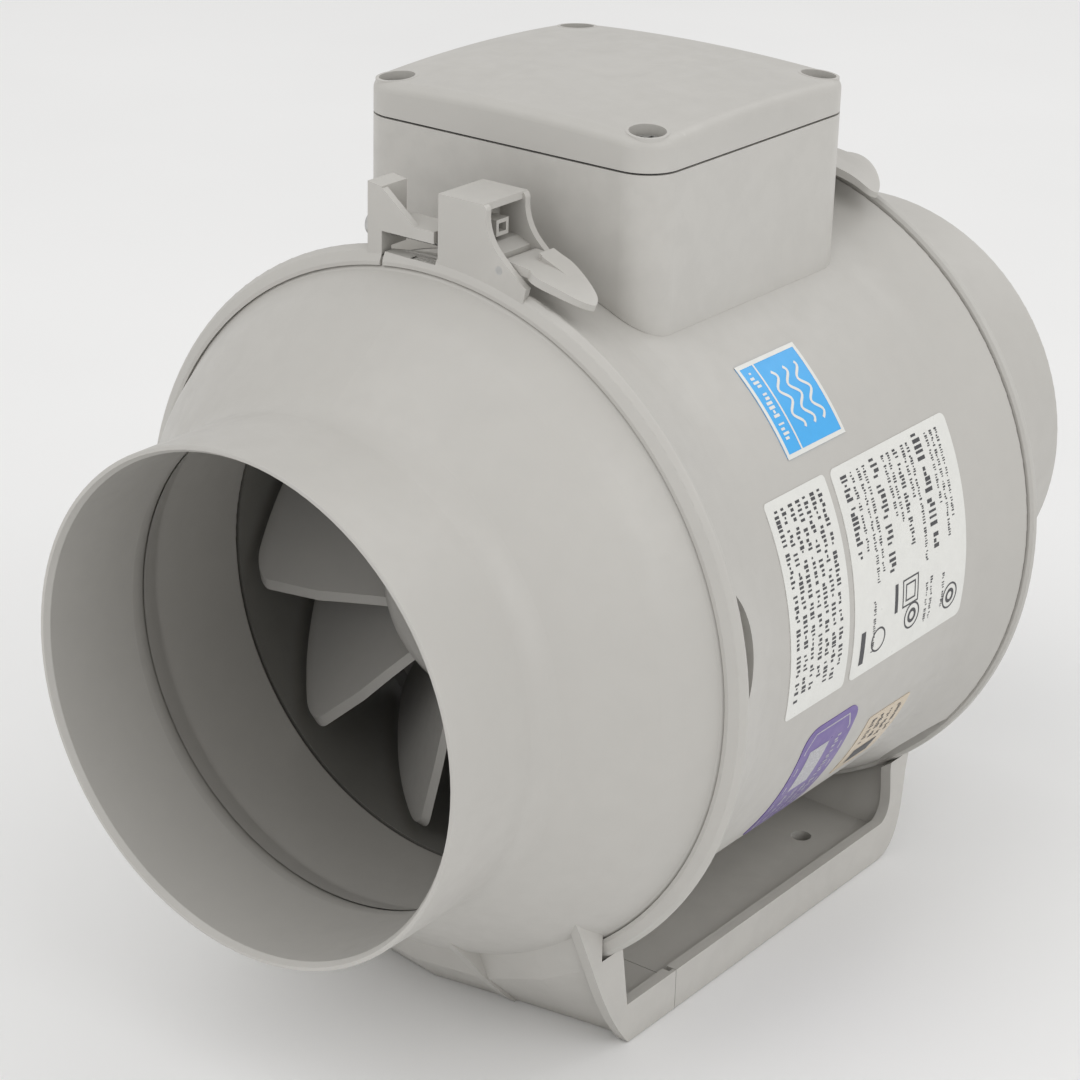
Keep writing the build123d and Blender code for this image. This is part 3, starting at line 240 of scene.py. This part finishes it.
def moulded_rubber(name, colour):
    """Matt rubber with a chalky bloom and a fine skin."""
    s = Shader(name)
    bloom = s.noise(90.0, 5.0)
    skin = s.noise(1800.0, 3.0)
    shade = s.mixed(s.ranged(bloom, 0.4, 0.8, 0.0, 0.6), colour, tinted(colour, 2.2))
    s.link(shade, s.surface.inputs["Base Color"])
    s.link(s.ranged(bloom, 0.3, 0.7, 0.6, 0.85), s.surface.inputs["Roughness"])
    s.bumps((skin, 0.25, 0.05 * MM))
    return s.material


def printed_film(name, colour):
    """Self-adhesive film: slightly uneven ink, paper fibres and faint ripples where air is trapped."""
    s = Shader(name)
    ripple = s.noise(75.0, 2.0)
    fibre = s.noise(1500.0, 3.0)
    blot = s.noise(240.0, 5.0)
    shade = s.mixed(s.ranged(blot, 0.35, 0.75, 0.0, 0.5), colour, tinted(colour, 0.92))
    shade = s.mixed(s.ranged(fibre, 0.45, 0.7, 0.0, 0.25), shade, tinted(colour, 1.06))
    s.link(shade, s.surface.inputs["Base Color"])
    s.link(s.ranged(blot, 0.3, 0.7, 0.27, 0.42), s.surface.inputs["Roughness"])
    s.surface.inputs["Coat Weight"].default_value = 0.25
    s.surface.inputs["Coat Roughness"].default_value = 0.2
    s.bumps((ripple, 0.25, 0.35 * MM), (fibre, 0.1, 0.02 * MM))
    return s.material


def printing_ink(name, colour):
    """Thermal-transfer ink, thin and broken where the film's texture shows through."""
    s = Shader(name)
    gaps = s.noise(2200.0, 3.0)
    shade = s.mixed(s.ranged(gaps, 0.45, 0.7, 0.0, 0.55), colour, tinted(colour, 1.9))
    s.link(shade, s.surface.inputs["Base Color"])
    s.link(s.ranged(gaps, 0.3, 0.7, 0.4, 0.6), s.surface.inputs["Roughness"])
    s.bumps((gaps, 0.1, 0.01 * MM))
    return s.material


def soft_sheath(name, colour):
    """Extruded wire insulation with faint draw lines."""
    s = Shader(name)
    lines = s.noise(700.0, 3.0)
    shade = s.mixed(s.ranged(lines, 0.4, 0.7), colour, tinted(colour, 0.8))
    s.link(shade, s.surface.inputs["Base Color"])
    s.link(s.ranged(lines, 0.3, 0.7, 0.3, 0.42), s.surface.inputs["Roughness"])
    s.bumps((lines, 0.15, 0.05 * MM))
    return s.material


def floor_paint(name):
    """Pale studio floor with the faintest unevenness."""
    s = Shader(name)
    cloud = s.noise(3.0, 3.0)
    shade = s.mixed(s.ranged(cloud, 0.3, 0.7), (0.86, 0.86, 0.86), (0.89, 0.89, 0.89))
    s.link(shade, s.surface.inputs["Base Color"])
    s.link(s.ranged(cloud, 0.3, 0.7, 0.6, 0.7), s.surface.inputs["Roughness"])
    s.bumps((s.noise(400.0), 0.02, 0.05 * MM))
    return s.material


# Slot: how it is finished, its colour, and what differs from the usual finish.
# Some settings give the strength of the painted shade in each finish's gaps and inner corners.
FINISHES = {
    "housing_plastic": (moulded_plastic, (0.500, 0.487, 0.460), dict(gap_shade_strength=0.22)),
    "impeller_plastic": (moulded_plastic, (0.43, 0.42, 0.40), dict(roughness=0.38, grain=0.6, gap_shade_strength=0.5)),
    "duct_plastic": (moulded_plastic, (0.24, 0.235, 0.22), dict(roughness=0.5, gap_shade_strength=0.6)),
    "screw_steel": (worn_metal, (0.56, 0.56, 0.55), dict(roughness=0.34, brushed=(1.0, 1.0, 6.0))),
    "bearing_steel": (
        worn_metal, (0.66, 0.66, 0.67), dict(roughness=0.18, brushed=(1.0, 8.0, 1.0), metal_gap_shade=0.15),
    ),
    "motor_aluminium": (worn_metal, (0.62, 0.63, 0.64), dict(roughness=0.42, metal_gap_shade=0.35)),
    "core_steel": (laminated_steel, (0.27, 0.27, 0.29), {}),
    "winding_copper": (wound_copper, (0.68, 0.30, 0.12), {}),
    "seal_rubber": (moulded_rubber, (0.035, 0.035, 0.035), {}),
    "lead_sheath": (soft_sheath, (0.30, 0.30, 0.31), {}),
    "capacitor_case": (moulded_plastic, (0.80, 0.80, 0.77), dict(roughness=0.28, grain=0.4, gap_shade_strength=0.3)),
    "clip_steel": (worn_metal, (0.52, 0.52, 0.53), dict(brushed=(1.0, 5.0, 1.0))),
    "terminal_plastic": (moulded_plastic, (0.68, 0.67, 0.60), dict(roughness=0.36, grain=0.6, gap_shade_strength=0.4)),
    "terminal_brass": (worn_metal, (0.66, 0.50, 0.22), dict(roughness=0.28, brushed=(1.0, 5.0, 1.0))),
    "gland_plastic": (moulded_plastic, (0.30, 0.31, 0.31), dict(roughness=0.4, grain=0.8, gap_shade_strength=0.5)),
    "blue_print": (printed_film, (0.045, 0.40, 0.84), {}),
    "white_print": (printed_film, (0.74, 0.74, 0.71), {}),
    "purple_print": (printed_film, (0.115, 0.060, 0.30), {}),
    "tan_print": (printed_film, (0.60, 0.50, 0.37), {}),
}

LOOKS = {slot: finish(slot, colour, **settings) for slot, (finish, colour, settings) in FINISHES.items()}


def finish_cad_nodes():
    """Gives every CAD node the finish of its slot in the record."""
    for part in frame["record"]["subparts"]:
        node = nodes[part["node"]]
        node.data.materials.clear()
        node.data.materials.append(LOOKS[part["material_slot"]])
        for polygon in node.data.polygons:
            polygon.material_index = 0


# ------------------------------------------------------------------ printed marks on the stickers
class Sticker:
    """Where a sticker lies on the round casing. Its marks are placed by u, the distance round the
    casing from its upper edge, and v, the distance along the fan from its inlet edge, in metres."""

    def __init__(self, node):
        points = [v.co for v in nodes[node].data.vertices]
        angles = [math.atan2(p.x, p.z - axis_z) for p in points]
        self.start_angle = min(angles)
        self.start_y = min(p.y for p in points)
        self.radius = max(math.hypot(p.x, p.z - axis_z) for p in points)
        self.round_size = (max(angles) - self.start_angle) * self.radius
        self.long_size = max(p.y for p in points) - self.start_y

    def place(self, u, v, lift):
        angle = self.start_angle + u / self.radius
        reach = self.radius + lift
        return Vector((reach * math.sin(angle), self.start_y + v, axis_z + reach * math.cos(angle)))


class Marks:
    """A thin printed mesh on a sticker, built up from bars and strokes."""

    lift = 0.04 * MM
    finest = 1.5 * MM

    def __init__(self, sticker):
        self.sticker = sticker
        self.mesh = bmesh.new()

    def point(self, u, v):
        return self.mesh.verts.new(self.sticker.place(u, v, self.lift))

    def ribbon(self, pairs):
        """Joins each pair of points to the next pair with a face."""
        for near, far in zip(pairs, pairs[1:]):
            self.mesh.faces.new((near[0], near[1], far[1], far[0]))

    def bar(self, u0, u1, v0, v1):
        """A rectangle, cut across its length so that it follows the round casing."""
        steps = max(1, math.ceil((u1 - u0) / self.finest))
        cuts = [u0 + (u1 - u0) * step / steps for step in range(steps + 1)]
        self.ribbon([[self.point(u, v) for v in (v0, v1)] for u in cuts])

    def stroke(self, points, width, closed=False):
        """A line of the given width along (u, v) points."""
        count = len(points)
        pairs = []
        for i, (u, v) in enumerate(points):
            before = points[i - 1] if i or closed else points[i]
            after = points[(i + 1) % count] if i < count - 1 or closed else points[i]
            du, dv = after[0] - before[0], after[1] - before[1]
            length = math.hypot(du, dv)
            side = (-dv / length * width / 2, du / length * width / 2)
            pairs.append([self.point(u + side[0] * s, v + side[1] * s) for s in (-1, 1)])
        self.ribbon(pairs + pairs[:1] if closed else pairs)

    def outline(self, u0, u1, v0, v1, width):
        """A rectangular frame, its four sides inside the given edges."""
        self.bar(u0, u1, v0, v0 + width)
        self.bar(u0, u1, v1 - width, v1)
        self.bar(u0, u0 + width, v0 + width, v1 - width)
        self.bar(u1 - width, u1, v0 + width, v1 - width)

    def ring(self, u, v, radius, width):
        """A circle of the given line width round the point (u, v)."""
        steps = 28
        turn = [2 * math.pi * i / steps for i in range(steps)]
        line = [(u + radius * math.cos(t), v + radius * math.sin(t)) for t in turn]
        self.stroke(line, width, closed=True)

    def small_print(self, u0, u1, v, height, seed, stroke_width=0.36 * MM):
        """A row of upright ticks in word-long groups, which reads as fine print from afar. No letters."""
        chance = random.Random(seed)
        u = u0
        while u < u1 - 2 * stroke_width:
            for _ in range(chance.randint(3, 8)):
                if u > u1 - 2 * stroke_width:
                    break
                low = chance.choice((0.0, 0.0, 0.3)) * height
                high = chance.choice((1.0, 1.0, 0.65)) * height
                self.bar(u, u + stroke_width * chance.uniform(0.9, 1.7), v + low, v + high)
                u += stroke_width * chance.uniform(2.0, 2.6)
            u += stroke_width * 2.2

    def made(self, name, material):
        """Turns the marks into a piece that rides on the fan."""
        data = bpy.data.meshes.new(name)
        bmesh.ops.recalc_face_normals(self.mesh, faces=self.mesh.faces)
        self.mesh.to_mesh(data)
        self.mesh.free()
        data.materials.append(material)
        piece = bpy.data.objects.new(name, data)
        bpy.context.collection.objects.link(piece)
        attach(piece, BODY)


def print_square_sticker(ink):
    """White border, small print and a rule along the inlet edge, and three waves of moving air."""
    sticker = Sticker("square_sticker")
    marks = Marks(sticker)
    u1, v1 = sticker.round_size, sticker.long_size
    border = 1.1 * MM
    text_margin = 2.6 * MM
    rule_v, rule_width = 6.2 * MM, 0.6 * MM
    marks.outline(0.0, u1, 0.0, v1, border)
    marks.bar(border, u1 - border, rule_v, rule_v + rule_width)
    marks.small_print(text_margin, u1 - text_margin, 2.5 * MM, 2.2 * MM, seed=3, stroke_width=0.5 * MM)
    first_wave_v, wave_pitch, wave_height = 10.6 * MM, 4.4 * MM, 1.3 * MM
    wave_start, wave_step = 4.5 * MM, 0.5 * MM
    for wave in range(3):
        middle = first_wave_v + wave_pitch * wave
        line = [
            (wave_start + wave_step * i, middle + wave_height * math.sin(i * 0.5 + wave * 0.4))
            for i in range(31)
        ]
        marks.stroke(line, 0.8 * MM)
    marks.made("square_sticker_print", ink)


def print_front_rating(ink):
    """Seven rows of small print with ragged ends."""
    sticker = Sticker("front_rating_sticker")
    marks = Marks(sticker)
    rows = 7
    side_margin, first_row_v = 2.6 * MM, 2.4 * MM
    pitch = (sticker.long_size - 4.0 * MM) / rows
    for row in range(rows):
        end = sticker.round_size - (3.0 + (row * 5) % 4) * MM
        row_v = first_row_v + row * pitch
        marks.small_print(side_margin, end, row_v, pitch * 0.55, seed=20 + row, stroke_width=0.5 * MM)
    marks.made("front_rating_print", ink)


def print_rear_rating(ink):
    """Rows of small print in two columns, two bars, a double square and three ring symbols."""
    sticker = Sticker("rear_rating_sticker")
    marks = Marks(sticker)
    size = sticker.round_size
    # Each row: its start and end round the casing as shares of the size, then its distance from the
    # inlet edge and its height, in millimetres.
    rows = [
        (0.05, 0.46, 3.2, 2.6), (0.05, 0.42, 7.2, 1.3), (0.05, 0.60, 10.4, 1.2), (0.05, 0.55, 12.8, 1.2),
        (0.04, 0.58, 16.2, 2.9), (0.05, 0.34, 21.4, 1.2), (0.05, 0.38, 23.8, 1.2), (0.05, 0.52, 26.6, 1.9),
        (0.05, 0.30, 30.4, 1.2), (0.05, 0.62, 32.8, 1.2), (0.03, 0.60, 36.0, 3.3), (0.05, 0.40, 41.6, 1.1),
        (0.05, 0.56, 44.0, 1.1), (0.05, 0.48, 46.4, 1.1), (0.66, 0.92, 8.6, 1.1), (0.72, 0.93, 33.0, 1.1),
        (0.70, 0.92, 35.2, 1.1), (0.72, 0.90, 41.0, 1.1),
    ]
    for index, (start, end, v, height) in enumerate(rows):
        stroke_width = 0.16 * height * MM + 0.1 * MM
        marks.small_print(start * size, end * size, v * MM, height * MM, 50 + index, stroke_width)
    marks.bar(0.78 * size, 0.94 * size, 3.4 * MM, 5.4 * MM)
    marks.bar(0.64 * size, 0.78 * size, 18.4 * MM, 19.8 * MM)
    square_u, square_v, square_side = 0.64 * size, 22.0 * MM, 7.4 * MM
    for inset in (0.0, 1.4 * MM):
        marks.outline(square_u + inset, square_u + square_side - inset,
                      square_v + inset, square_v + square_side - inset, 0.45 * MM)
    for u, v in ((0.84, 27.0), (0.86, 45.6)):
        marks.ring(u * size, v * MM, 3.3 * MM, 0.5 * MM)
        marks.ring(u * size, v * MM, 1.5 * MM, 0.9 * MM)
    marks.ring(0.86 * size, 11.6 * MM, 3.0 * MM, 0.5 * MM)
    marks.made("rear_rating_print", ink)


def print_purple_sticker(ink):
    """A frame with cut corners round a block and four rows of small print."""
    sticker = Sticker("purple_sticker")
    marks = Marks(sticker)
    u1, v1 = sticker.round_size, sticker.long_size
    inset = 2.2 * MM
    corners = [(inset, inset), (u1 - inset, inset), (u1 - inset, v1 - inset), (inset, v1 - inset)]
    side_shares = (0.12, 0.31, 0.5, 0.69, 0.88)
    line = []
    for (ua, va), (ub, vb) in zip(corners, corners[1:] + corners[:1]):
        line += [(ua + (ub - ua) * share, va + (vb - va) * share) for share in side_shares]
    marks.stroke(line, 0.5 * MM, closed=True)
    marks.bar(8.0 * MM, 22.0 * MM, 5.0 * MM, 13.5 * MM)
    for row in range(3):
        marks.small_print(24.0 * MM, 36.0 * MM, (5.5 + 4.2 * row) * MM, 1.8 * MM, seed=80 + row)
    marks.small_print(8.0 * MM, 35.0 * MM, 17.0 * MM, 2.2 * MM, seed=90, stroke_width=0.5 * MM)
    marks.made("purple_sticker_print", ink)


def print_tan_sticker(ink):
    """Four rows of small print near the upper edge, and a block below them."""
    marks = Marks(Sticker("tan_sticker"))
    for row in range(4):
        marks.small_print(2.0 * MM, 12.0 * MM, (3.0 + 4.0 * row) * MM, 2.2 * MM, seed=100 + row)
    marks.bar(14.0 * MM, 19.5 * MM, 4.0 * MM, 15.0 * MM)
    marks.made("tan_sticker_print", ink)


# ------------------------------------------------------------------ wires in the junction box
def wire(name, points, diameter, material):
    """A round insulated core on a smooth line through the box."""
    curve = bpy.data.curves.new(name, "CURVE")
    curve.dimensions = "3D"
    curve.bevel_depth = diameter / 2
    curve.bevel_resolution = 4
    curve.resolution_u = 10
    spline = curve.splines.new("NURBS")
    spline.points.add(len(points) - 1)
    for target, point in zip(spline.points, points):
        target.co = (*point, 1.0)
    spline.order_u = 3
    spline.use_endpoint_u = True
    curve.use_fill_caps = True
    curve.materials.append(material)
    piece = bpy.data.objects.new(name, curve)
    bpy.context.collection.objects.link(piece)
    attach(piece, BODY)


def wire_the_terminals():
    """Three insulated cores fan out from the end of the motor lead into the terminal block."""
    block_low, block_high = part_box("terminal_block")
    _, lead_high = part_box("motor_lead")
    screw_low, screw_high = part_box("terminal_screws")
    core_diameter = 1.9 * MM
    screw_radius = 2.1 * MM
    pole_pitch = (screw_high.y - screw_low.y - 2 * screw_radius) / 3
    entry_z = block_low.z + 4.0 * MM
    side = block_high.x + 4.5 * MM
    start = Vector((lead_high.x - 1.6 * MM, block_high.y + 3.2 * MM, block_high.z - 1.2 * MM))
    colours = {
        "brown": (0.16, 0.06, 0.03),
        "blue": (0.03, 0.12, 0.42),
        "yellow_green": (0.55, 0.52, 0.06),
    }
    for index, (colour_name, colour) in enumerate(colours.items()):
        pole_y = screw_high.y - screw_radius - index * pole_pitch
        points = [
            start,
            start + Vector((2.5 * MM, 2.0 * MM, -1.0 * MM - index * 0.8 * MM)),
            Vector((side + index * 1.2 * MM, block_high.y + 1.0 * MM, entry_z + 5.0 * MM)),
            Vector((side + 1.5 * MM + index * 1.2 * MM, pole_y + 3.0 * MM, entry_z + 1.0 * MM)),
            Vector((side - 1.0 * MM, pole_y, entry_z)),
            Vector((block_high.x - 2.0 * MM, pole_y, entry_z)),
        ]
        insulation = soft_sheath(f"{colour_name}_insulation", colour)
        wire(f"{colour_name}_core", points, core_diameter, insulation)


# ------------------------------------------------------------------ stage, light and camera
def add_floor():
    """A wide floor just under the foot."""
    floor_size = 6.0
    gap = 0.2 * MM
    mesh = bmesh.new()
    bmesh.ops.create_grid(mesh, x_segments=8, y_segments=8, size=floor_size / 2)
    data = bpy.data.meshes.new("floor")
    mesh.to_mesh(data)
    mesh.free()
    data.materials.append(floor_paint("floor_paint"))
    floor = bpy.data.objects.new("floor", data)
    floor.location.z = cad_low.z - gap
    bpy.context.collection.objects.link(floor)


def add_world(strength):
    """An even, slightly warm studio glow."""
    world = bpy.data.worlds.new("studio")
    world.use_nodes = True
    background = world.node_tree.nodes["Background"]
    background.inputs["Color"].default_value = (1.0, 0.995, 0.985, 1.0)
    background.inputs["Strength"].default_value = strength
    bpy.context.scene.world = world


def stand(item, azimuth, elevation, distance, roll=0.0):
    """Puts a light or a camera at a distance from the middle of the fan's axis and aims it there.
    Angles are in degrees: azimuth 0 is in front of the inlet, and 90 is on the stickers' side."""
    a, e = math.radians(azimuth), math.radians(elevation)
    away = Vector((math.sin(a) * math.cos(e), -math.cos(a) * math.cos(e), math.sin(e)))
    turn = Quaternion((0.0, 0.0, 1.0), math.radians(roll))
    item.location = Vector((0.0, 0.0, axis_z)) + away * distance
    item.rotation_mode = "QUATERNION"
    item.rotation_quaternion = (-away).to_track_quat("-Z", "Y") @ turn
    bpy.context.collection.objects.link(item)


def add_softbox(name, azimuth, elevation, distance, width, power):
    """A square area light aimed at the fan."""
    data = bpy.data.lights.new(name, "AREA")
    data.size = width
    data.energy = power
    stand(bpy.data.objects.new(name, data), azimuth, elevation, distance)


def add_camera():
    """Stands where the photographer stood: right of the inlet, above, close enough for perspective."""
    data = bpy.data.cameras.new("camera")
    data.lens = 97.0
    data.sensor_width = 36.0
    data.shift_x, data.shift_y = -0.0504, -0.0048
    camera = bpy.data.objects.new("camera", data)
    stand(camera, azimuth=35.6, elevation=22.9, distance=0.7406, roll=1.95)
    bpy.context.scene.camera = camera


finish_cad_nodes()
dark_ink = printing_ink("dark_ink", (0.05, 0.05, 0.055))
pale_ink = printing_ink("pale_ink", (0.42, 0.42, 0.44))
print_square_sticker(LOOKS["white_print"])
print_front_rating(dark_ink)
print_rear_rating(dark_ink)
print_purple_sticker(pale_ink)
print_tan_sticker(dark_ink)
wire_the_terminals()

add_floor()
add_world(0.72)
# Name: azimuth and elevation in degrees, distance and width in metres, power in watts.
SOFTBOXES = {
    "key": (-25.0, 58.0, 2.0, 1.6, 7.5),
    "front_fill": (5.0, 12.0, 2.4, 1.8, 5.6),
    "side_fill": (88.0, 30.0, 2.4, 1.8, 11.5),
    "rim": (160.0, 45.0, 2.4, 1.4, 6.0),
}
for softbox_name, softbox in SOFTBOXES.items():
    add_softbox(softbox_name, *softbox)
add_camera()
bpy.context.scene.view_settings.view_transform = "Standard"
